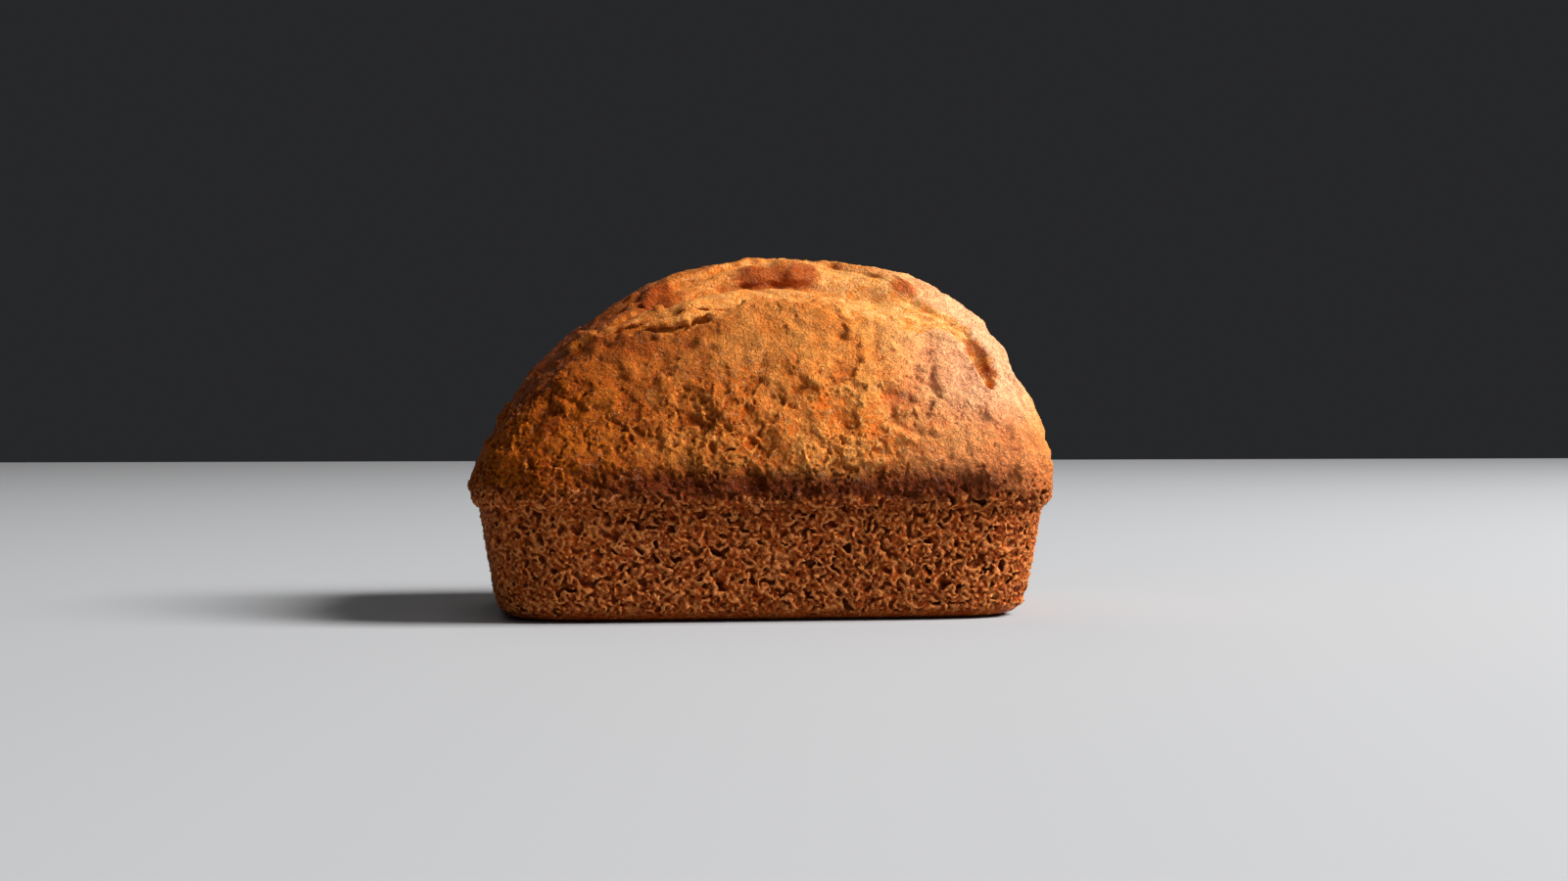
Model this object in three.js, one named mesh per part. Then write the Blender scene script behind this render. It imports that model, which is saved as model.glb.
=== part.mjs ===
// A mini loaf of cornbread: one baked piece, in millimetres, +Z up.
// The origin is the middle of the flat bottom. X runs along the loaf, and -Y is its front.
// The lower part took the shape of a small tapered pan. The batter then ran a little over the
// pan's edge and rose into a crown, which slopes down longer on the left and split open along
// the front of its top and down its right shoulder.
import * as THREE from "three";
import { mergeVertices } from "three/addons/utils/BufferGeometryUtils.js";

const { degToRad, lerp } = THREE.MathUtils;
const QUARTER_TURN = Math.PI / 2;

// ---- the part moulded by the pan ----
const PAN_LENGTH = 97; // between the end walls, at the pan's top edge
const PAN_WIDTH = 64;
const PAN_DEPTH = 21;
const PAN_DRAFT = degToRad(9.5); // how far the walls lean outwards
const PAN_SQUARENESS = 6.5; // exponent of the plan outline: 2 is an ellipse, more is squarer
const FOOT_RADIUS = 4.2; // rounding between the walls and the bottom

// ---- the lip where the batter ran over the pan's edge ----
const LIP_OUT = 1.6; // how far it stands out past the wall
const LIP_ROLL = 2.8; // height of its rolled underside

// ---- the crown ----
const LOAF_HEIGHT = 62;
const CROWN_TOP = new THREE.Vector2(8, 3); // its highest point, in plan
const CROWN_FOOT = PAN_DEPTH + 0.8; // level of the lip's widest line
const CROWN_SQUARENESS = 2.5; // plan outline near the top
// The half section towards each side: the spread flattens its top, the fullness its foot.
const CROWN_SIDES = {
  right: { spread: 2.8, fullness: 1.5 },
  back: { spread: 2.4, fullness: 1.8 },
  left: { spread: 2.6, fullness: 1.35 },
  front: { spread: 2.4, fullness: 1.7 },
};

// ---- where the crown swelled or sank as it baked: centre, radius and height of each ----
const SWELLS = [
  { at: [-39, -3, 46], radius: 8, rise: 1.6 }, // left shoulder
  { at: [-47, -2, 36], radius: 7, rise: -1.3 }, // the dip below it
  { at: [-20, -9, 56], radius: 8, rise: 0.9 }, // brow at the split's left end
  { at: [3, -5, 61], radius: 7, rise: 1.1 }, // cap over the middle of the split
  { at: [14, -27, 44], radius: 12, rise: 0.9 }, // front cheek
  { at: [-20, -28, 38], radius: 11, rise: -0.7 }, // hollow left of the cheek
  { at: [42, 6, 50], radius: 9, rise: 0.8 }, // right shoulder, behind the tear
  { at: [50, -6, 38], radius: 7, rise: -1.3 }, // the dip above the right lip
  { at: [18, 24, 48], radius: 12, rise: 1.2 }, // back cheek
  { at: [-24, 22, 46], radius: 10, rise: -0.9 }, // hollow left of the back cheek
];

// ---- the split, followed from the left over the top and down the right shoulder ----
const SPLIT = new THREE.CatmullRomCurve3([
  new THREE.Vector3(-24, -14, 54),
  new THREE.Vector3(-6, -14, 58),
  new THREE.Vector3(10, -14, 58),
  new THREE.Vector3(24, -16, 54),
  new THREE.Vector3(36, -13, 51),
  new THREE.Vector3(43, -16, 42),
]);
const SPLIT_HALF_WIDTH = 3;
const SPLIT_DEPTH = 2.4;
const splitLine = SPLIT.getSpacedPoints(60);

// ---- the grid of the skin ----
const AROUND = 108; // steps round the loaf
const CROWN_RINGS = 34;
const ROLL_RINGS = 3;
const WALL_RINGS = 4;
const FOOT_RINGS = 3;
const BOTTOM_RINGS = 2;

// Distance from the loaf's upright axis to a rounded rectangle, in the direction phi.
function reach(phi, inset, squareness) {
  const alongX = Math.abs(Math.cos(phi) / (PAN_LENGTH / 2 - inset)) ** squareness;
  const alongY = Math.abs(Math.sin(phi) / (PAN_WIDTH / 2 - inset)) ** squareness;
  return (alongX + alongY) ** (-1 / squareness);
}

// A point on the pan's outline, moved in from the pan's top edge by an inset.
function onOutline(phi, inset, height) {
  const r = reach(phi, inset, PAN_SQUARENESS);
  return new THREE.Vector3(r * Math.cos(phi), r * Math.sin(phi), height);
}

// The lip ran over unevenly, so that it stands out more in some directions.
function lipOut(phi) {
  return LIP_OUT + 0.3 * Math.sin(3 * phi + 1) + 0.2 * Math.sin(8 * phi);
}

// The crown's half section in the direction phi, blended between the two nearest sides.
function sectionTowards(phi) {
  const endSide = Math.cos(phi) > 0 ? CROWN_SIDES.right : CROWN_SIDES.left;
  const longSide = Math.sin(phi) > 0 ? CROWN_SIDES.back : CROWN_SIDES.front;
  const towardsEnd = Math.cos(phi) ** 2;
  return {
    spread: lerp(longSide.spread, endSide.spread, towardsEnd),
    fullness: lerp(longSide.fullness, endSide.fullness, towardsEnd),
  };
}

// How far the skin stands out of the plain crown at a point, in the swells and in the split.
function relief(point) {
  let rise = 0;
  for (const swell of SWELLS) {
    const away = point.distanceTo(new THREE.Vector3(...swell.at)) / swell.radius;
    rise += swell.rise * Math.exp(-away * away);
  }
  const toSplit = Math.min(...splitLine.map((spot) => spot.distanceTo(point)));
  return rise - SPLIT_DEPTH * Math.exp(-((toSplit / SPLIT_HALF_WIDTH) ** 2));
}

// A point on the crown: turn is 0 at its top and a quarter turn at the lip.
function onCrown(phi, turn) {
  const { spread, fullness } = sectionTowards(phi);
  const out = Math.sin(turn) ** (2 / spread);
  const up = Math.max(0, Math.cos(turn)) ** (2 / fullness);
  const squareness = lerp(CROWN_SQUARENESS, PAN_SQUARENESS, out * out);
  const r = out * reach(phi, -lipOut(phi), squareness);
  const plain = new THREE.Vector3(
    r * Math.cos(phi) + CROWN_TOP.x * (1 - out * out),
    r * Math.sin(phi) + CROWN_TOP.y * (1 - out * out),
    CROWN_FOOT + (LOAF_HEIGHT - CROWN_FOOT) * up,
  );
  const outwards = plain.clone().setZ(plain.z - CROWN_FOOT);
  outwards.divide(new THREE.Vector3(PAN_LENGTH ** 2, PAN_WIDTH ** 2, (2 * LOAF_HEIGHT) ** 2));
  return plain.addScaledVector(outwards.normalize(), relief(plain));
}

// The rings of the skin from the top to the middle of the bottom, as functions of phi.
function skinRings() {
  const rings = [];
  for (let i = 0; i <= CROWN_RINGS; i++) {
    rings.push((phi) => onCrown(phi, (QUARTER_TURN * i) / CROWN_RINGS));
  }
  const wallTop = CROWN_FOOT - LIP_ROLL;
  for (let i = 1; i <= ROLL_RINGS; i++) {
    const roll = (QUARTER_TURN * i) / ROLL_RINGS;
    const height = CROWN_FOOT - LIP_ROLL * Math.sin(roll);
    rings.push((phi) => onOutline(phi, -lipOut(phi) * Math.cos(roll), height));
  }
  const insetAt = (height) => (wallTop - height) * Math.tan(PAN_DRAFT);
  for (let i = 1; i <= WALL_RINGS; i++) {
    const height = lerp(wallTop, FOOT_RADIUS, i / WALL_RINGS);
    rings.push((phi) => onOutline(phi, insetAt(height), height));
  }
  for (let i = 1; i <= FOOT_RINGS; i++) {
    const roll = (QUARTER_TURN * i) / FOOT_RINGS;
    const inset = insetAt(FOOT_RADIUS) + FOOT_RADIUS * (1 - Math.cos(roll));
    rings.push((phi) => onOutline(phi, inset, FOOT_RADIUS * (1 - Math.sin(roll))));
  }
  const bottomInset = insetAt(FOOT_RADIUS) + FOOT_RADIUS;
  for (let i = 1; i <= BOTTOM_RINGS; i++) {
    const share = 1 - i / BOTTOM_RINGS;
    rings.push((phi) => onOutline(phi, bottomInset, 0).multiplyScalar(share));
  }
  return rings;
}

// The skin starts as the closed grid of a sphere, and each grid point moves to its place.
function loafGeometry() {
  const rings = skinRings();
  const grid = new THREE.SphereGeometry(1, AROUND, rings.length - 1);
  const places = grid.getAttribute("position");
  rings.forEach((ring, row) => {
    for (let step = 0; step <= AROUND; step++) {
      const place = ring((2 * Math.PI * (step % AROUND)) / AROUND);
      places.setXYZ(row * (AROUND + 1) + step, place.x, place.y, place.z);
    }
  });
  grid.deleteAttribute("normal");
  grid.deleteAttribute("uv");
  return mergeVertices(grid, 1e-3);
}

const geometry = loafGeometry();
geometry.computeBoundingBox();
const middle = geometry.boundingBox.getCenter(new THREE.Vector3());
geometry.translate(-middle.x, -middle.y, 0);
geometry.computeVertexNormals();

const crust = new THREE.MeshStandardMaterial({ color: 0xb5672c, roughness: 0.7, metalness: 0 });
const loaf = new THREE.Mesh(geometry, crust);
loaf.name = "cornbread_loaf";

const part = new THREE.Group();
part.add(loaf);

export default part;
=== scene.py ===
"""The looks of a mini loaf of cornbread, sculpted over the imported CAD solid.

The CAD solid is turned into a block of signed distances, like clay. The clay gets the opening
on its crown, with its lobes, leaves and cracks, and then the strands, pits and flakes of its
crumb and crust. Its skin becomes the loaf's mesh. Each point of the mesh remembers how deep it
lies, how toasted it is and whether it is fresh crumb, and one procedural material reads that.
Lengths are in millimetres, except where Blender takes metres.
"""
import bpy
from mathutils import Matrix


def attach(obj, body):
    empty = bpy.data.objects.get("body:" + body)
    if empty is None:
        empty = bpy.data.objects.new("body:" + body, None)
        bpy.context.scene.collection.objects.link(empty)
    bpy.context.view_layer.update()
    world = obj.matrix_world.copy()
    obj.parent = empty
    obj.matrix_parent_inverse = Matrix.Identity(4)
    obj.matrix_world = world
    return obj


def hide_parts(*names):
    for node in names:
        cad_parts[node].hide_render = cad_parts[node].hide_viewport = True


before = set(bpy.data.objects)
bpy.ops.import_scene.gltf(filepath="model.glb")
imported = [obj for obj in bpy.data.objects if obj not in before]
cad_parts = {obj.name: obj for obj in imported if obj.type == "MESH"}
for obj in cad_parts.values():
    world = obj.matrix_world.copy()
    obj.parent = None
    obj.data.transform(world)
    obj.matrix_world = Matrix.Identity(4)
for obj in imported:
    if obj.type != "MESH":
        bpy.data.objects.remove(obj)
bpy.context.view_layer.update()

from concurrent.futures import ThreadPoolExecutor
from math import cos, radians, sin

import bpy
import numpy as np
import openvdb as vdb
from mathutils import Vector

NODE = "cornbread_loaf"
MM = 0.001
VOXEL = 0.34
FIELD_REACH = 5.0  # how far from the skin the distances are true
MARGIN = 4  # clay kept around the loaf
LIP_Z = 22.0  # the height where the crown's crust meets the crumb that the pan shaped
CRUMB_REACH = 1.8  # how far from the skin the crumb is carved
CHART_ROOM = (104.0, 72.0, 66.0)  # length, depth and height that the flat charts leave for the loaf
NOISE_CELLS = 32  # a noise repeats after this many of its cells, which is a power of two
NOISE_SPREAD = 3.6  # brings the spread of a noise's values to about 1
POINTS_AT_A_TIME = 60000


# ---------------------------------------------------------------- clay
def smooth_max(a, b, soft):
    blend = np.maximum(soft - np.abs(a - b), 0) / soft
    return np.maximum(a, b) + blend * blend * soft / 4


def smooth_min(a, b, soft):
    return -smooth_max(-a, -b, soft)


def ramp(value, start, end):
    """0 before start, 1 after end and smooth between; start may be the larger one."""
    t = np.clip((value - start) / (end - start), 0, 1)
    return t * t * (3 - 2 * t)


def spline_weights(coords, count):
    """Cubic B-spline weights of each coordinate over a row of values one unit apart."""
    first = np.floor(coords).astype(int)
    f = coords - first
    table = np.zeros((len(coords), count), np.float32)
    rows = np.arange(len(coords))
    table[rows, first] = (1 - f) ** 3 / 6
    table[rows, first + 1] = (3 * f**3 - 6 * f**2 + 4) / 6
    table[rows, first + 2] = (-3 * f**3 + 3 * f**2 + 3 * f + 1) / 6
    table[rows, first + 3] = f**3 / 6
    return table


def noise(points, size, seed):
    """Smooth random values at points, with features of about this size and a spread of 1."""
    rng = np.random.default_rng(seed)
    slopes = rng.normal(size=(NOISE_CELLS, NOISE_CELLS, NOISE_CELLS, 3))
    slopes = (slopes / np.linalg.norm(slopes, axis=-1, keepdims=True)).astype(np.float32)
    where = (points / size + 2 * NOISE_CELLS).astype(np.float32)
    base = np.floor(where).astype(np.int32)
    f = where - base
    ease = f * f * f * (f * (f * 6 - 15) + 10)
    total = np.zeros(len(points), np.float32)
    for corner in np.ndindex(2, 2, 2):
        i, j, k = ((base + np.array(corner, np.int32)) & (NOISE_CELLS - 1)).T
        share = np.prod(np.where(corner, ease, 1 - ease), axis=1)
        total += share * np.einsum("ij,ij->i", f - np.array(corner, np.float32), slopes[i, j, k])
    return total * NOISE_SPREAD


def stir(points, size, amount, seed):
    """Points moved about at random, so that a noise read there curls."""
    moves = [noise(points, size, seed + i) for i in range(3)]
    return points + amount * np.stack(moves, 1)


def ridges(values, width):
    """1 along the lines where a noise is zero, falling to 0 at this value on both sides."""
    return np.maximum(1 - np.abs(values) / width, 0)


def in_parts(function, points):
    """Works a function out over many points, a part of them at a time on each core."""
    parts = np.array_split(points, max(1, len(points) // POINTS_AT_A_TIME))
    with ThreadPoolExecutor() as pool:
        return np.concatenate(list(pool.map(function, parts)))


def layers(values, edge):
    """A noise cut into terraces, with a steep edge between each and the next."""
    level = np.floor(values)
    return level + ramp(values - level, 0, edge)


class Clay:
    """A block of signed distances, negative inside the loaf."""

    def __init__(self, points, triangles):
        transform = vdb.createLinearTransform(voxelSize=VOXEL)
        grid = vdb.FloatGrid.createLevelSetFromPolygons(
            points.astype(np.float32),
            triangles=triangles.astype(np.uint32),
            transform=transform,
            halfWidth=FIELD_REACH / VOXEL,
        )
        pad = int(MARGIN / VOXEL)
        self.low = np.floor(points.min(0) / VOXEL).astype(int) - pad
        size = np.ceil(points.max(0) / VOXEL).astype(int) + pad - self.low
        self.field = np.zeros(size, np.float32)
        grid.copyToArray(self.field, ijk=tuple(int(v) for v in self.low))
        self.axes = [(self.low[a] + np.arange(size[a])) * VOXEL for a in range(3)]
        self.z = self.axes[2][None, None, :].astype(np.float32)

    def clouds(self, size, seed):
        """Soft random unevenness with features of about this size, and a spread of 1."""
        tables = []
        for axis in self.axes:
            coords = (axis - axis[0]) / size
            tables.append(spline_weights(coords, int(coords[-1]) + 4))
        rng = np.random.default_rng(seed)
        values = rng.uniform(-1, 1, [t.shape[1] for t in tables]).astype(np.float32)
        values = np.tensordot(tables[0], values, (1, 0))
        values = np.tensordot(tables[1], values, (1, 1)).swapaxes(0, 1)
        values = np.tensordot(values, tables[2], (2, 1))
        return values / values.std()

    def near_skin(self, reach):
        """The voxels within reach of the skin: their places in the block, and their points."""
        index = np.flatnonzero(np.abs(self.field) < reach)
        steps = np.stack(np.unravel_index(index, self.field.shape), 1) + self.low
        return index, (steps * VOXEL).astype(np.float32)

    def window(self, centre, reach):
        """The block of voxels within reach of a point, and their offsets from it."""
        low = np.floor((centre - reach) / VOXEL).astype(int) - self.low
        high = np.ceil((centre + reach) / VOXEL).astype(int) - self.low + 1
        low = np.clip(low, 0, self.field.shape)
        high = np.clip(high, 0, self.field.shape)
        block = tuple(slice(a, b) for a, b in zip(low, high))
        offsets = np.empty([*(high - low), 3], np.float32)
        for a in range(3):
            shape = [1, 1, 1]
            shape[a] = -1
            offsets[..., a] = (self.axes[a][block[a]] - centre[a]).reshape(shape)
        return block, offsets

    def ball(self, centre, radii, turn, warp):
        """Distances to an uneven ellipsoid in its own window, negative inside it."""
        radii = np.asarray(radii, float)
        block, offsets = self.window(np.asarray(centre, float), radii.max() * 1.5 + 0.8)
        turned = (offsets + warp[block]) @ turn
        return block, (np.linalg.norm(turned / radii, axis=-1) - 1) * radii.min()

    def add(self, centre, radii, turn, warp, soft):
        """Adds an uneven ellipsoid, joined to the skin with a soft edge, and gives its distances."""
        block, ball = self.ball(centre, radii, turn, warp)
        self.field[block] = smooth_min(self.field[block], ball, soft)
        return block, ball

    def at(self, values, points):
        """The values of a field at points, between the voxels."""
        where = points / VOXEL - self.low
        base = np.clip(np.floor(where).astype(int), 0, np.array(values.shape) - 2)
        f = (where - base).astype(np.float32)
        result = 0
        for corner in np.ndindex(2, 2, 2):
            index = base + corner
            share = np.prod(np.where(corner, f, 1 - f), axis=1)
            result = result + share * values[index[:, 0], index[:, 1], index[:, 2]]
        return result

    def lie_flat(self, centre):
        """A turn whose third axis is the skin's outward direction at a point."""
        centre = np.asarray(centre, float)
        steps = 1.5 * np.eye(3)
        out = self.at(self.field, centre + steps) - self.at(self.field, centre - steps)
        out /= np.linalg.norm(out)
        side = np.cross(out, (0, 1, 0))
        side /= np.linalg.norm(side)
        return np.stack([side, np.cross(out, side), out], 1).astype(np.float32)

    def lay(self, path):
        """A line of stops with more stops between them, each one moved onto the skin."""
        stops = np.array(path, float)
        places = np.linspace(0, len(stops) - 1, 4 * len(stops) - 3)
        line = np.stack([np.interp(places, range(len(stops)), row) for row in stops.T], 1)
        for stop in line:
            stop[:3] -= self.at(self.field, stop[None, :3]) * self.lie_flat(stop[:3])[:, 2]
        return line

    def skin(self):
        """The surface as points and four-cornered faces."""
        band = 3 * VOXEL
        grid = vdb.FloatGrid(band)
        grid.transform = vdb.createLinearTransform(voxelSize=VOXEL)
        limited = np.clip(self.field, -band, band)
        grid.copyFromArray(limited, ijk=tuple(int(v) for v in self.low))
        return grid.convertToQuads(isovalue=0)


def along(path, points):
    """How deep points are inside a line of (x, y, z, half width) stops: negative outside it."""
    deepest = np.full(points.shape[:-1], -np.inf, np.float32)
    stops = np.asarray(path, np.float32)
    for start, end in zip(stops[:-1], stops[1:]):
        step = end[:3] - start[:3]
        share = np.clip(((points - start[:3]) @ step) / (step @ step), 0, 1)
        gap = np.linalg.norm(points - start[:3] - share[..., None] * step, axis=-1)
        deepest = np.maximum(deepest, start[3] + share * (end[3] - start[3]) - gap)
    return deepest


# ---------------------------------------------------------------- the loaf's features
# Where the crust split open and fresh crumb shows: its outline seen from above, as (x, y),
# along the front edge of the opening and back along the other side.
OPENING = [
    (-28, -20), (-20, -22.3), (-15.6, -21.9), (-9.5, -21.5), (-5.2, -19.5), (-0.5, -18.9),
    (6.8, -19.2), (13, -19.4), (14, -21.4), (21, -21.4), (22, -22.6), (29.4, -21.4),
    (33.6, -21.8), (34.4, -25), (36.8, -28.4), (38.2, -27.2), (37.8, -24.2), (36.3, -20.5),
    (32.8, -16.6), (27.9, -14.4), (23.5, -11.5), (19, -7), (13, -2), (4, -3), (-6, -6), (-14, -9),
    (-20, -12.5), (-27, -17),
]
# The narrow cracks, each a line of (x, y, z, half width) stops: under the cap, down the right
# shoulder, and at the opening's left end.
CRACKS = [
    [(-7, -12, 56.6, 0.5), (-3, -12, 57, 0.9), (4, -11.8, 57.3, 0.7), (8, -11.5, 57.8, 0.2)],
    [
        (33.6, -18.6, 50.4, 0.4), (35.2, -21.6, 47.2, 1.3), (36.1, -24.8, 43.8, 1.7),
        (37, -27.4, 39.6, 0.6),
    ],
    [(-20, -22.8, 47.9, 0.3), (-15.5, -22.3, 49.6, 0.7), (-10, -21.9, 50.8, 0.3)],
]
# Lumps of crust, the cap and one to its left: centre, then half length, depth and thickness.
LOBES = [
    ((2.5, -9.3, 59.1), (8.4, 2.6, 1.6)),
    ((5.5, -8.8, 59.8), (4.2, 2.6, 1.4)),
    ((-17.5, -12.8, 54.2), (4.4, 2.2, 0.9)),
]
# Thin leaves of crust over the left end of the opening, given in the same way.
LEAVES = [
    ((-12.0, -18.0, 53.2), (7.0, 2.1, 0.7)),
    ((-15.4, -21.0, 50.6), (6.0, 1.6, 0.7)),
    ((-23.5, -18.4, 49.8), (4.2, 1.3, 0.5)),
    ((-31, -17.5, 46.5), (4.0, 1.4, 0.5)),
]
LEAF_LIFT = 0.35  # how far the middle of a leaf is above the skin
FAR_FROM_LEAVES = 9.0
# Hollows in the crust: centre and radius.
HOLLOWS = [
    ((-20.4, -25.4, 44.5), 3.5), ((-24.6, -27.4, 40.4), 3), ((-14.7, -23.6, 48), 2.4),
    ((-5, -28.4, 41), 3), ((12.5, -24.6, 48.6), 1.5), ((27, -25.4, 45.7), 2.2),
    ((27.6, -27.4, 42.4), 1.2), ((10, -31.1, 35.9), 3), ((-31, -24, 38), 3.5),
    ((2, -30.5, 37), 2.5), ((18, 21, 52), 3), ((-16, 20, 50), 3.5), ((4, 29, 40), 3),
    ((34, 24, 40), 3), ((-34, 18, 40), 3), ((46, 8, 42), 3), ((44, -12, 42), 2.5),
]
# Where the crown swells a little more: centre and radius.
SWELLS = [((42, -11, 46), 8), ((22, -12, 57), 3)]
# Where the crust is toasted to an orange brown, and where it is browned more faintly.
TOASTED = [
    ((-1, -10.5, 58.6), 3.6), ((3, -10.5, 59), 3.6), ((7, -10, 59.6), 3.4),
    ((-18, -13, 54.4), 4.2), ((25, -12.5, 56.4), 2.2),
    ((35.3, -22.5, 46.6), 1.9), ((36.3, -25.6, 42.8), 1.9),
]
BROWNED = [
    ((-40, -2, 45), 7), ((-4, 16, 60), 8), ((31, 13, 54), 6), ((10, 28, 46), 6),
    ((-26, 20, 46), 6), ((48, 4, 36), 5),
]


def cad_surface(node):
    """The CAD solid's points and triangles."""
    mesh = node.data
    mesh.calc_loop_triangles()
    points = np.empty(len(mesh.vertices) * 3, np.float32)
    mesh.vertices.foreach_get("co", points)
    triangles = np.empty(len(mesh.loop_triangles) * 3, np.int32)
    mesh.loop_triangles.foreach_get("vertices", triangles)
    return points.reshape(-1, 3) / MM, triangles.reshape(-1, 3)


def into_opening(points):
    """How far points lie inside the opening's outline seen from above: negative outside it."""
    x, y = (points[:, a] + 0.45 * noise(points, 2.2, 60 + a) for a in (0, 1))
    nearest = np.full(len(x), np.inf)
    inside = np.zeros(len(x), bool)
    for (x0, y0), (x1, y1) in zip(OPENING, OPENING[1:] + OPENING[:1]):
        dx, dy = x1 - x0, y1 - y0
        share = np.clip(((x - x0) * dx + (y - y0) * dy) / (dx * dx + dy * dy), 0, 1)
        nearest = np.minimum(nearest, np.hypot(x - x0 - share * dx, y - y0 - share * dy))
        crosses = (y0 > y) != (y1 > y)
        inside ^= crosses & (x < x0 + (y - y0) * dx / (dy or 1))
    on_crown = points[:, 2] > 35
    return np.where(inside & on_crown, nearest, -nearest)


def nearness(spots, points, fade=0.5):
    """1 at the middle of the nearest of some (centre, radius) spots, 0 outside them all.

    The fade is the share of a radius, inside and outside it, over which a spot dies away.
    """
    best = np.zeros(len(points))
    for centre, radius in spots:
        away = np.linalg.norm(points - np.array(centre), axis=1) / radius
        best = np.maximum(best, ramp(away, 1 + fade, 1 - fade))
    return best


def crown_height(points):
    """How far the opening, the hollows and the swells stand out of the crown at points."""
    inside = into_opening(points)
    # The opening is sunken, with long folds along it and a raised edge just outside it.
    stretched = stir(points, 5, 0.8, 70) * (0.4, 1, 1)
    folds = 0.7 * np.abs(noise(stretched, 4.6, 73)) + 0.06 * np.abs(noise(stretched, 2, 74))
    height = ramp(inside, 0, 1.3) * (-0.9 + np.minimum(folds, 1.3) * ramp(inside, 0.5, 3))
    height += 0.4 * np.exp(-(((inside + 0.9) / 0.8) ** 2))
    height -= 0.6 * nearness(HOLLOWS, points + 0.9 * noise(points, 3, 75)[:, None], 0.6)
    return height + nearness(SWELLS, points, 1.0)


def cut_crack(clay, stops, warp):
    """Cuts a crack along a line of stops."""
    places = stops[:, :3]
    middle = (places.max(0) + places.min(0)) / 2
    block, offsets = clay.window(middle, np.ptp(places, axis=0) / 2 + 3)
    depth = along(stops, offsets + middle.astype(np.float32) + warp[block])
    clay.field[block] = smooth_max(clay.field[block], depth, 0.3)


def shape_crown(clay):
    """Shapes the crown's forms of a few millimetres, and gives distances to its leaves."""
    # How each form lies on the skin is read before anything is carved.
    resting = {centre: clay.lie_flat(centre) for centre, _ in LOBES + LEAVES}
    cracks = [clay.lay(path) for path in CRACKS]
    clay.field += 0.3 * clay.clouds(9, 1) * ramp(clay.z, 20, 30)
    index, points = clay.near_skin(3.5)
    high = points[:, 2] > 30
    index = index[high]
    points = points[high]
    clay.field.reshape(-1)[index] -= crown_height(points).astype(np.float32)

    warp = np.stack([0.3 * clay.clouds(2.2, seed) for seed in (3, 4, 5)], -1)
    for centre, radii in LOBES:
        clay.add(centre, radii, resting[centre], warp, 0.9)
    leaf = np.full_like(clay.field, FAR_FROM_LEAVES)
    for centre, radii in LEAVES:
        turn = resting[centre]
        lifted = np.array(centre, float)
        lifted += (LEAF_LIFT - clay.at(clay.field, lifted[None])[0]) * turn[:, 2]
        block, ball = clay.add(lifted, radii, turn, warp, 0.1)
        leaf[block] = np.minimum(leaf[block], ball)
    for stops in cracks:
        cut_crack(clay, stops, warp)
    return leaf


def crumb_height(points):
    """How far the crumb and the crust stand out of the plain skin at points."""
    x, z = points[:, 0], points[:, 2]
    # Where each kind of surface is: the walls, the soft crumb of the opening, the smooth crust
    # of the top and the right, the rough crust between them, and the lip.
    patch = noise(points, 9, 38)
    ragged = z + 0.8 * noise(points, 4, 33)
    wall = ramp(ragged, LIP_Z + 1, LIP_Z - 1.5)
    tender = ramp(into_opening(points), -0.6, 0.8)
    smooth = np.maximum(ramp(ragged, 36, 47), 0.8 * ramp(x + 3 * patch, 12, 30))
    rough = (1 - wall) * (1 - tender) * (1 - 0.85 * smooth)
    rim = (1 - wall) * ramp(ragged, LIP_Z + 6, LIP_Z + 2)
    crust = (1 - wall) * (1 - 0.7 * tender)

    # Crumb: curled strands, with pits and dents between them.
    curled = stir(points, 1.7, 0.45, 30)
    coarse = noise(curled, 1.3, 34)
    strands = ridges(coarse, 0.5)
    fine = ridges(noise(curled, 0.85, 35), 0.55)
    pits = ramp(noise(curled, 1.6, 36) + 0.25 * coarse, 0.4, 1.4)
    dents = ramp(noise(curled, 1.0, 37), 0.5, 1.5)
    gritty = noise(curled, 0.65, 39)
    height = wall * (0.42 * strands + 0.32 * fine + 0.07 * gritty - 1.1 * pits - 0.4 * dents - 0.1)
    torn = 0.5 + 0.5 * ramp(patch, -0.6, 0.8)
    height += rough * torn * (0.27 * strands + 0.22 * fine - 0.3 * dents - 0.1)
    height += rim * (0.22 * strands + 0.14 * fine - 0.35 * dents - 0.1)
    height -= rough * ramp(patch, 0.0, 1.0) * 0.6 * pits
    height += crust * (1 - 0.5 * smooth) * (0.09 * fine + 0.08 * strands + 0.03 * gritty - 0.08)

    # Crust: overlapping flakes, and thin folds.
    wavy = stir(points, 3.5, 1.1, 50)
    flakes = layers(1.1 * noise(wavy, 6, 53) + 0.35 * noise(wavy, 2.6, 54), 0.22)
    folds = ridges(noise(wavy, 3.8, 55), 0.2)
    height += crust * (1 - 0.45 * smooth) * (0.34 * np.clip(flakes, -2, 1) - 0.25 * folds)
    height += crust * 0.28 * noise(wavy, 4.5, 56)
    return height * ramp(z, 0.2, 2.5)


def crumble(clay):
    """Breaks the skin up into crumb: strands with pits between them, and flakes on the crown."""
    index, points = clay.near_skin(CRUMB_REACH)
    clay.field.reshape(-1)[index] -= in_parts(crumb_height, points)


def largest_part(skin, faces):
    """The biggest connected part of a mesh, without the crumbs and bubbles apart from it."""
    label = np.arange(len(skin))
    while True:
        lowest = label[faces].min(1)
        spread = label.copy()
        for corner in faces.T:
            np.minimum.at(spread, corner, lowest)
        spread = spread[spread]
        if (spread == label).all():
            break
        label = spread
    keep = label == np.bincount(label).argmax()
    place = np.cumsum(keep) - 1
    return skin[keep], place[faces[keep[faces[:, 0]]]]


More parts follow.
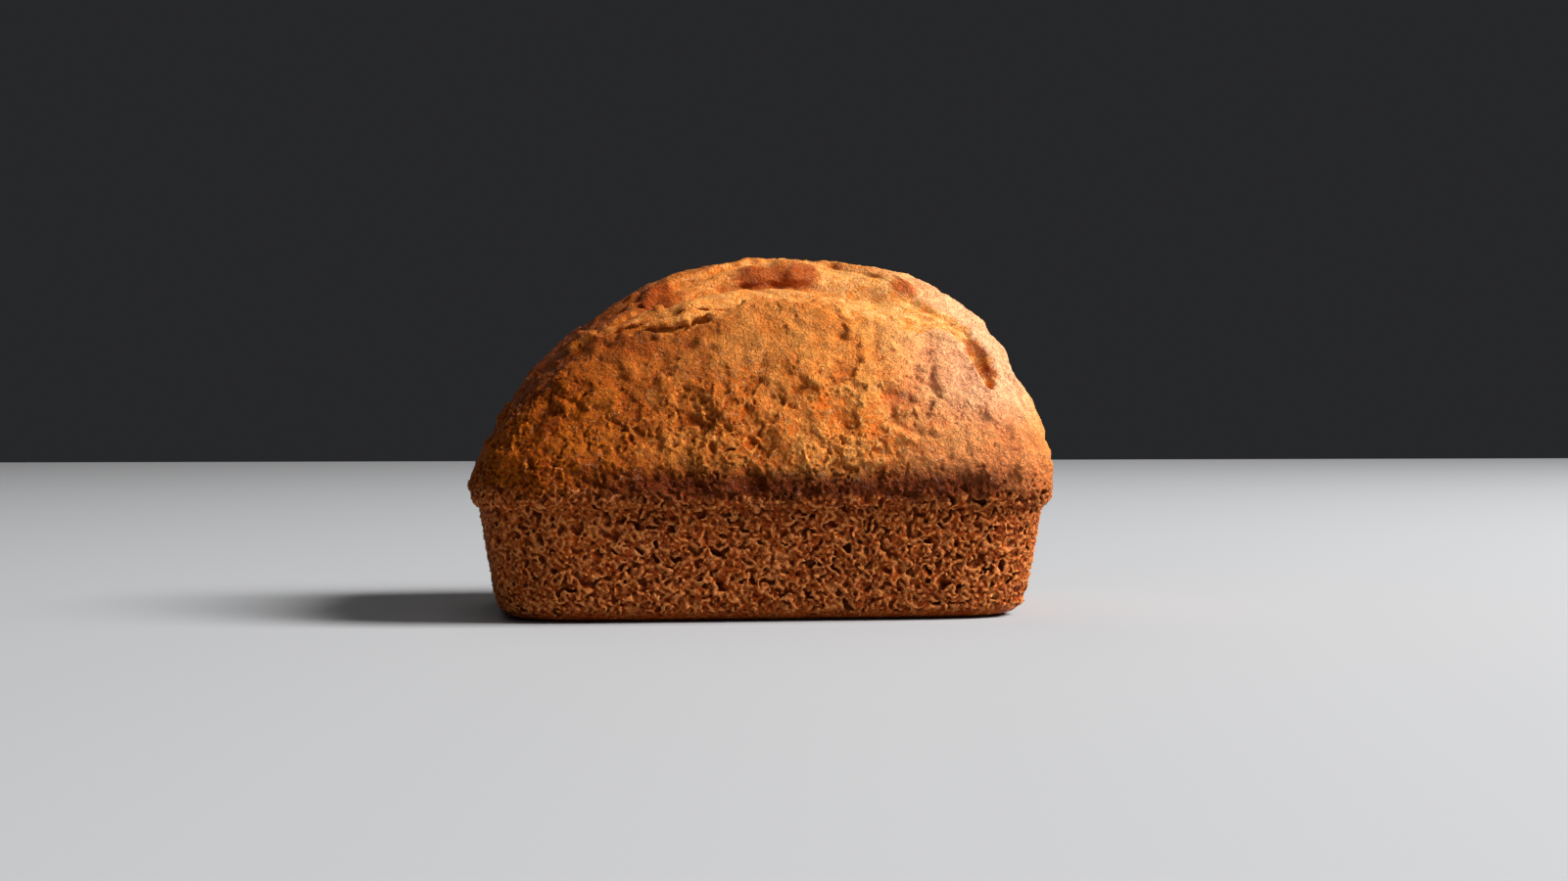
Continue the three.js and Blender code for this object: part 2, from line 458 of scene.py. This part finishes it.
def sculpt(node):
    """The loaf's points, faces, the values its material reads, and which way each point faces."""
    points, triangles = cad_surface(node)
    clay = Clay(points, triangles)
    leaf = shape_crown(clay)
    plain = clay.field.copy()
    crumble(clay)
    clay.field = np.maximum(clay.field, -clay.z)  # the flat bottom
    skin, faces = largest_part(*clay.skin())
    skin = skin.astype(np.float64)
    skin[:, 2] = np.maximum(skin[:, 2], 0)

    # A crest has more empty room around it than a flat skin, and a pit has less.
    sides = 0.5 * np.concatenate([np.eye(3), -np.eye(3)])
    around = sum(clay.at(clay.field, skin + side) for side in sides)
    values = {
        # hollow and crest are read to paint shade in the pits and a highlight on the crests.
        "hollow": -clay.at(plain, skin),
        "crest": around - len(sides) * clay.at(clay.field, skin),
        "fresh": ramp(in_parts(into_opening, skin), -0.35, 0.25),
        "toasted": np.maximum(
            nearness(TOASTED, stir(skin, 3, 0.6, 90)),
            0.45 * nearness(BROWNED, stir(skin, 6, 2.5, 93), 0.9),
        ),
        # Painted shade: marks the hollows, whose crust the material darkens.
        "hollow_shade": nearness(HOLLOWS, skin, 0.7),
        "leaf": ramp(clay.at(leaf, skin), 0.4, 0.1),
    }
    steps = 2.2 * np.eye(3)
    towards = [clay.at(plain, skin + step) - clay.at(plain, skin - step) for step in steps]
    return skin, faces, values, np.stack(towards, 1)


# ---------------------------------------------------------------- mesh
def unfold(skin, faces, towards):
    """Six flat charts, one for each side of the loaf, side by side in the unit square."""
    side = towards[faces].mean(1)
    centre = skin[faces].mean(1)
    axis = np.abs(side).argmax(1)
    positive = np.take_along_axis(side, axis[:, None], 1)[:, 0] > 0
    wide, across, tall = CHART_ROOM
    lowest = np.array([-wide / 2, -across / 2, -1.0])
    # The corner of each chart: front and back, then top and bottom, then left and right.
    corners = {
        (1, False): (0, 0), (1, True): (wide, 0),
        (2, True): (0, tall), (2, False): (wide, tall),
        (0, False): (0, tall + across), (0, True): (across, tall + across),
    }
    uv = np.zeros([*faces.shape, 2])
    for (a, sign), start in corners.items():
        chosen = (axis == a) & (positive == sign)
        flat = [i for i in range(3) if i != a]
        uv[chosen] = skin[faces[chosen]][..., flat] - lowest[flat] + np.array(start)
    return uv / (2 * wide)


def quad_mesh(name, points, faces):
    """A smooth-shaded mesh from arrays of points and four-cornered faces."""
    mesh = bpy.data.meshes.new(name)
    mesh.vertices.add(len(points))
    mesh.vertices.foreach_set("co", points.astype(np.float32).ravel())
    mesh.loops.add(faces.size)
    mesh.loops.foreach_set("vertex_index", faces.astype(np.int32).ravel())
    mesh.polygons.add(len(faces))
    mesh.polygons.foreach_set("loop_start", np.arange(0, faces.size, 4, dtype=np.int32))
    mesh.polygons.foreach_set("use_smooth", np.ones(len(faces), bool))
    mesh.update(calc_edges=True)
    mesh.validate()
    return mesh


def build_loaf(node, material):
    """The sculpted loaf as one object, with the values and the charts that it needs."""
    skin, faces, values, towards = sculpt(node)
    mesh = quad_mesh("cornbread_crumb", skin * MM, faces)
    for name, numbers in values.items():
        layer = mesh.attributes.new(name, "FLOAT", "POINT")
        layer.data.foreach_set("value", np.ascontiguousarray(numbers, np.float32))
    uv = mesh.uv_layers.new(name="OFBake")
    uv.uv.foreach_set("vector", unfold(skin, faces, towards).astype(np.float32).ravel())
    mesh.materials.append(material)
    loaf = bpy.data.objects.new("cornbread_crumb", mesh)
    bpy.context.scene.collection.objects.link(loaf)
    return loaf


# ---------------------------------------------------------------- materials
class Nodes:
    """Short ways to add and join shader nodes."""

    def __init__(self, name):
        self.material = bpy.data.materials.new(name)
        self.material.use_nodes = True
        self.tree = self.material.node_tree
        self.shader = self.tree.nodes["Principled BSDF"]

    def join(self, source, socket):
        if hasattr(source, "is_output"):
            self.tree.links.new(source, socket)
        else:
            socket.default_value = source

    def attribute(self, name):
        node = self.tree.nodes.new("ShaderNodeAttribute")
        node.attribute_name = name
        return node.outputs["Fac"]

    def position(self):
        return self.tree.nodes.new("ShaderNodeTexCoord").outputs["Object"]

    def noise(self, size_mm, detail=3.0, roughness=0.55, distortion=0.0):
        node = self.tree.nodes.new("ShaderNodeTexNoise")
        self.join(self.position(), node.inputs["Vector"])
        node.inputs["Scale"].default_value = 1 / (size_mm * MM)
        node.inputs["Detail"].default_value = detail
        node.inputs["Roughness"].default_value = roughness
        node.inputs["Distortion"].default_value = distortion
        return node.outputs["Fac"]

    def strands(self, size_mm, width):
        """Short curling lines, 1 along their middles."""
        tangle = self.noise(size_mm, 1.0, 0.5, 1.2)
        away = self.math("ABSOLUTE", self.math("SUBTRACT", tangle, 0.5))
        lines = self.between(away, width / 2, 0.0)
        return self.times(lines, self.between(self.noise(2.2 * size_mm), 0.42, 0.55))

    def places(self):
        """The three coordinates, in mm."""
        node = self.tree.nodes.new("ShaderNodeSeparateXYZ")
        self.join(self.position(), node.inputs[0])
        return [self.times(side, 1 / MM) for side in node.outputs]

    def math(self, operation, a, b=0.0):
        node = self.tree.nodes.new("ShaderNodeMath")
        node.operation = operation
        self.join(a, node.inputs[0])
        self.join(b, node.inputs[1])
        return node.outputs[0]

    def times(self, a, b):
        return self.math("MULTIPLY", a, b)

    def between(self, value, start, end, low=0.0, high=1.0):
        """Low up to start, high past end and smooth between; start may be the larger one."""
        node = self.tree.nodes.new("ShaderNodeMapRange")
        node.interpolation_type = "SMOOTHSTEP"
        self.join(value, node.inputs["Value"])
        sockets = ("From Min", "From Max", "To Min", "To Max")
        for socket, number in zip(sockets, (start, end, low, high)):
            self.join(number, node.inputs[socket])
        return node.outputs["Result"]

    def mix(self, share, first, second):
        node = self.tree.nodes.new("ShaderNodeMix")
        node.data_type = "RGBA"
        self.join(share, node.inputs[0])
        self.join(first, node.inputs[6])
        self.join(second, node.inputs[7])
        return node.outputs[2]

    def bump(self, height, strength, distance_mm):
        node = self.tree.nodes.new("ShaderNodeBump")
        node.inputs["Strength"].default_value = strength
        node.inputs["Distance"].default_value = distance_mm * MM
        self.join(height, node.inputs["Height"])
        return node.outputs["Normal"]


def rgb(red, green, blue):
    """A colour given as it looks on screen, from 0 to 255."""
    linear = [((c / 255 + 0.055) / 1.055) ** 2.4 for c in (red, green, blue)]
    return (*linear, 1.0)


class Crumb(Nodes):
    """The loaf's material: where its kinds of surface are, and the colours of each."""

    def __init__(self, name):
        super().__init__(name)
        # Places on the loaf.
        self.x, _, self.z = self.places()
        bent = self.times(self.math("SUBTRACT", self.noise(3, 4), 0.5), 6)
        self.ragged = self.math("ADD", self.z, bent)
        across = self.math("ADD", self.x, self.times(self.noise(14, 2), 20))
        # The darker left end is partly painted shade and partly deeper toasting.
        self.rightwards = self.between(across, -32, 45)
        self.upper = self.between(self.z, 36, 48)
        # Patterns of the surface, which are mottled, speckled or lined.
        self.broad = self.between(self.noise(7, 4), 0.38, 0.62)
        self.fine = self.between(self.noise(1.5, 4, 0.65), 0.3, 0.7)
        self.speck = self.between(self.noise(0.55, 2, 0.6), 0.35, 0.68)
        self.fleck = self.between(self.noise(1.4, 3, 0.5, 1.0), 0.58, 0.63)
        self.veins = self.math("MAXIMUM", self.strands(1.2, 0.08), self.strands(0.7, 0.1))
        # What the carving left: raised strands, which get a painted highlight, and pits, which get
        # painted shade.
        crest = self.attribute("crest")
        self.crest_highlight = self.times(self.between(crest, 0.15, 1.1), 0.6)
        pits = self.between(self.attribute("hollow"), 0.1, 1.0)
        self.deep = self.math("MAXIMUM", pits, self.between(crest, -0.1, -0.8, 0.0, 0.8))

    def sided(self, left, right):
        """One colour at the loaf's darker left end, changing to another at its right. The darker
        left is partly painted shade, where the light falls off, and partly deeper toasting.
        """
        return self.mix(self.rightwards, rgb(*left), rgb(*right))

    def crown(self):
        """The crust of the crown: brown at its left, orange in the middle and peach at its right.
        The brown left is partly painted shade, and the peach right shoulder carries a painted sheen.
        """
        calm = self.math("SUBTRACT", 1.0, self.times(self.upper, 0.55))
        light = self.sided((172, 82, 2), (250, 164, 78))
        colour = self.mix(self.broad, self.sided((136, 53, 0), (234, 118, 24)), light)
        for share, amount, left, right in (
            (self.upper, 0.4, (136, 58, 0), (252, 172, 88)),
            (self.times(self.speck, calm), 0.4, (106, 36, 0), (222, 108, 34)),
            # Painted shade in the crown's hollows.
            (self.attribute("hollow_shade"), 0.45, (148, 62, 0), (214, 102, 18)),
            (self.times(self.fleck, calm), 0.5, (188, 100, 6), (255, 184, 100)),
            (self.times(self.veins, calm), 0.65, (200, 112, 10), (255, 188, 104)),
            # Painted highlight on the crests.
            (self.times(self.crest_highlight, calm), 1.0, (192, 104, 6), (255, 188, 102)),
            # Painted shade in the pits and creases.
            (self.deep, 0.7, (88, 26, 0), (210, 86, 8)),
        ):
            colour = self.mix(self.times(share, amount), colour, self.sided(left, right))
        # A painted sheen makes the right shoulder the palest, and the crown's right foot is duller.
        painted_sheen = self.times(self.between(self.x, 14, 38), self.between(self.z, 30, 40, 0.25, 0.75))
        painted_sheen = self.times(painted_sheen, self.between(self.x, 50, 42, 0.3, 1.0))
        colour = self.mix(painted_sheen, colour, rgb(254, 186, 144))
        low = self.times(self.between(self.z, 38, 24), self.between(self.x, 8, 34, 0.0, 0.7))
        return self.mix(low, colour, rgb(208, 118, 62))

    def wall(self):
        """The crumb that the pan shaped: light strands over dark pits, with a painted highlight on
        its crests and painted shade in its pits.
        """
        colour = self.mix(self.broad, rgb(142, 52, 5), rgb(170, 70, 10))
        for share, amount, tone in (
            (self.speck, 0.5, (100, 28, 0)),
            (self.fleck, 0.5, (214, 108, 38)),
            (self.veins, 0.85, (250, 152, 74)),
            # Painted highlight on the crests.
            (self.crest_highlight, 1.0, (255, 164, 90)),
            # Painted shade in the pits.
            (self.deep, 0.9, (62, 13, 0)),
        ):
            colour = self.mix(self.times(share, amount), colour, rgb(*tone))
        return colour

    def rim(self):
        """The dark band just above the lip: darkest along the middle of the long sides."""
        soft = self.math("ADD", self.times(self.ragged, 0.3), self.times(self.z, 0.7))
        above = self.between(self.ragged, LIP_Z - 2.5, LIP_Z)
        band = self.times(above, self.between(soft, LIP_Z + 6, LIP_Z + 1.2))
        from_middle = self.math("ABSOLUTE", self.math("SUBTRACT", self.x, 6))
        return self.times(band, self.between(from_middle, 44, 26, 0.2, 1.0))

    def opening(self):
        """The fresh crumb."""
        dark = self.sided((196, 96, 10), (238, 146, 62))
        light = self.sided((224, 130, 44), (252, 190, 118))
        # Painted shade: the cavities of the fresh crumb get a deeper orange.
        deep = self.sided((196, 88, 4), (246, 136, 36))
        return self.mix(self.times(self.deep, 0.6), self.mix(self.fine, dark, light), deep)

    def flap(self):
        """The thin leaves over the opening."""
        dark = self.sided((200, 104, 20), (240, 154, 66))
        return self.mix(self.fine, dark, self.sided((234, 146, 60), (255, 200, 126)))

    def colour(self):
        """The colours of all the surfaces, laid over one another."""
        pan_shaped = self.between(self.ragged, LIP_Z + 1.5, LIP_Z - 1.5)
        colour = self.mix(pan_shaped, self.crown(), self.wall())
        colour = self.mix(self.times(self.rim(), 0.95), colour, rgb(92, 32, 0))
        colour = self.mix(self.attribute("fresh"), colour, self.opening())
        colour = self.mix(self.times(self.attribute("toasted"), 0.8), colour, rgb(160, 58, 2))
        colour = self.mix(self.times(self.attribute("leaf"), 0.8), colour, self.flap())
        # Painted shade: the brow above the opening's left end is darkened, where the light falls
        # off.
        painted_brow_shade = self.times(self.between(self.x, -10, -28, 0.0, 0.5), self.between(self.z, 40, 50))
        return self.mix(painted_brow_shade, colour, rgb(120, 46, 0))


def crumb_material():
    """Baked crumb: matt, a little shinier on its flecks, and softest where it is fresh."""
    n = Crumb("baked_crumb")
    rough = n.between(n.noise(2.4, 3), 0.3, 0.7, 0.4, 0.65)
    grain = n.math("ADD", n.noise(0.5, 3, 0.6), n.times(n.veins, 0.8))
    grain = n.math("ADD", grain, n.times(n.fleck, 0.5))
    inputs = n.shader.inputs
    n.join(n.colour(), inputs["Base Color"])
    n.join(n.times(rough, n.between(n.fleck, 0.0, 1.0, 1.0, 0.6)), inputs["Roughness"])
    n.join(n.between(n.fleck, 0.0, 1.0, 0.06, 0.2), inputs["Specular IOR Level"])
    n.join(n.bump(grain, 0.9, 0.6), inputs["Normal"])
    n.join(n.between(n.attribute("fresh"), 0.0, 1.0, 0.08, 0.3), inputs["Subsurface Weight"])
    inputs["Subsurface Radius"].default_value = (1.0, 0.35, 0.1)
    inputs["Subsurface Scale"].default_value = 1 * MM
    return n.material


def floor_material():
    n = Nodes("pale_floor")
    n.shader.inputs["Base Color"].default_value = rgb(168, 171, 176)
    n.shader.inputs["Roughness"].default_value = 0.8
    return n.material


# ---------------------------------------------------------------- setting
# Soft square lights: azimuth and elevation in degrees, distance and size in metres, watts and
# colour. Azimuth 0 is behind the loaf, 90 is its right and 180 its front.
LIGHTS = {
    "key": (106, 39, 1.7, 0.7, 68, (1.0, 0.97, 0.93)),
    "front": (170, 25, 1.6, 1.2, 2.2, (1.0, 0.98, 0.96)),
    "back": (345, 50, 1.6, 1.2, 3, (1.0, 0.96, 0.9)),
}
LIGHTS_AIM = Vector((0, 0, 30 * MM))
WORLD_COLOUR = (0.02, 0.0205, 0.022, 1)

CAMERA_SENSOR = 36
CAMERA_LENS = 51.7
CAMERA_TURN = radians(-7)
CAMERA_AWAY = 405 * MM
CAMERA_ASIDE = 5.3 * MM
CAMERA_HEIGHT = 35.2 * MM
CAMERA_FALL = 0.013  # how far its view drops for each unit ahead


def add_floor():
    mesh = bpy.data.meshes.new("floor")
    half = 1.2
    corners = [(-half, -half, 0), (half, -half, 0), (half, half, 0), (-half, half, 0)]
    mesh.from_pydata(corners, [], [(0, 1, 2, 3)])
    mesh.materials.append(floor_material())
    floor = bpy.data.objects.new("floor", mesh)
    floor.location.z = -0.1 * MM
    bpy.context.scene.collection.objects.link(floor)


def add_light(name, azimuth, elevation, distance, size, watts, colour):
    """A square soft light that faces the loaf."""
    data = bpy.data.lights.new(name, "AREA")
    data.size = size
    data.energy = watts
    data.color = colour
    light = bpy.data.objects.new(name, data)
    a = radians(azimuth)
    e = radians(elevation)
    light.location = LIGHTS_AIM + distance * Vector((sin(a) * cos(e), cos(a) * cos(e), sin(e)))
    light.rotation_euler = (LIGHTS_AIM - light.location).to_track_quat("-Z", "Y").to_euler()
    bpy.context.scene.collection.objects.link(light)


def add_lights():
    for name, settings in LIGHTS.items():
        add_light(name, *settings)
    world = bpy.data.worlds.new("studio")
    world.use_nodes = True
    world.node_tree.nodes["Background"].inputs["Color"].default_value = WORLD_COLOUR
    bpy.context.scene.world = world


def add_camera():
    """Low, level with the middle of the loaf, and turned a little to its left."""
    data = bpy.data.cameras.new("camera")
    data.sensor_width = CAMERA_SENSOR
    data.lens = CAMERA_LENS
    camera = bpy.data.objects.new("camera", data)
    right = Vector((cos(CAMERA_TURN), sin(CAMERA_TURN), 0))
    ahead = Vector((-sin(CAMERA_TURN), cos(CAMERA_TURN), 0))
    up = Vector((0, 0, 1))
    camera.location = CAMERA_ASIDE * right - CAMERA_AWAY * ahead + CAMERA_HEIGHT * up
    look = ahead - CAMERA_FALL * up
    camera.rotation_euler = look.to_track_quat("-Z", "Y").to_euler()
    bpy.context.scene.collection.objects.link(camera)
    bpy.context.scene.camera = camera


add_camera()
add_lights()
add_floor()
bpy.context.scene.view_settings.view_transform = "Standard"

loaf = build_loaf(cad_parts[NODE], crumb_material())
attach(loaf, "root")
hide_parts(NODE)
